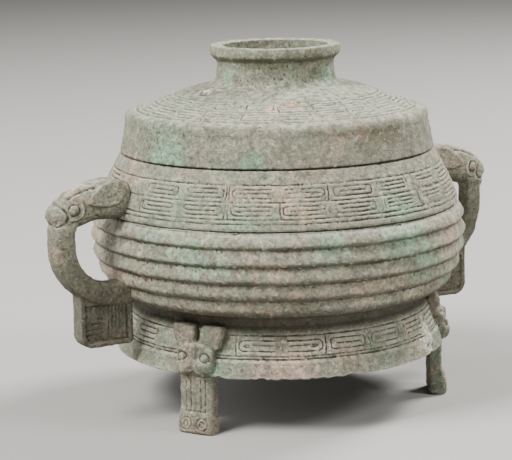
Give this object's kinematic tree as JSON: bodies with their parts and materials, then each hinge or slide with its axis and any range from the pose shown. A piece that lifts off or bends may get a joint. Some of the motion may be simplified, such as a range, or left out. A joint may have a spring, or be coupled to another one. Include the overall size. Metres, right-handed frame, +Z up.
{
  "type": "lidded gui food vessel",
  "caption": "Bronze food vessel with a ridged bowl, beast-head handles, a ring foot on mask legs and a domed lid.",
  "frame": {"origin": "on the ground, under the vessel's vertical axis", "axes": "+Z up, +X towards one handle and -X towards the other, +Y towards the back foot"},
  "size_m": [0.3236, 0.2414, 0.2291],
  "materials": {
    "vessel_patina": "matt grey-green patina with earth and malachite",
    "lid_patina": "matt pale green patina"
  },
  "bodies": {
    "root": {"vessel": "vessel_patina", "lid": "lid_patina"}
  },
  "joints": []
}
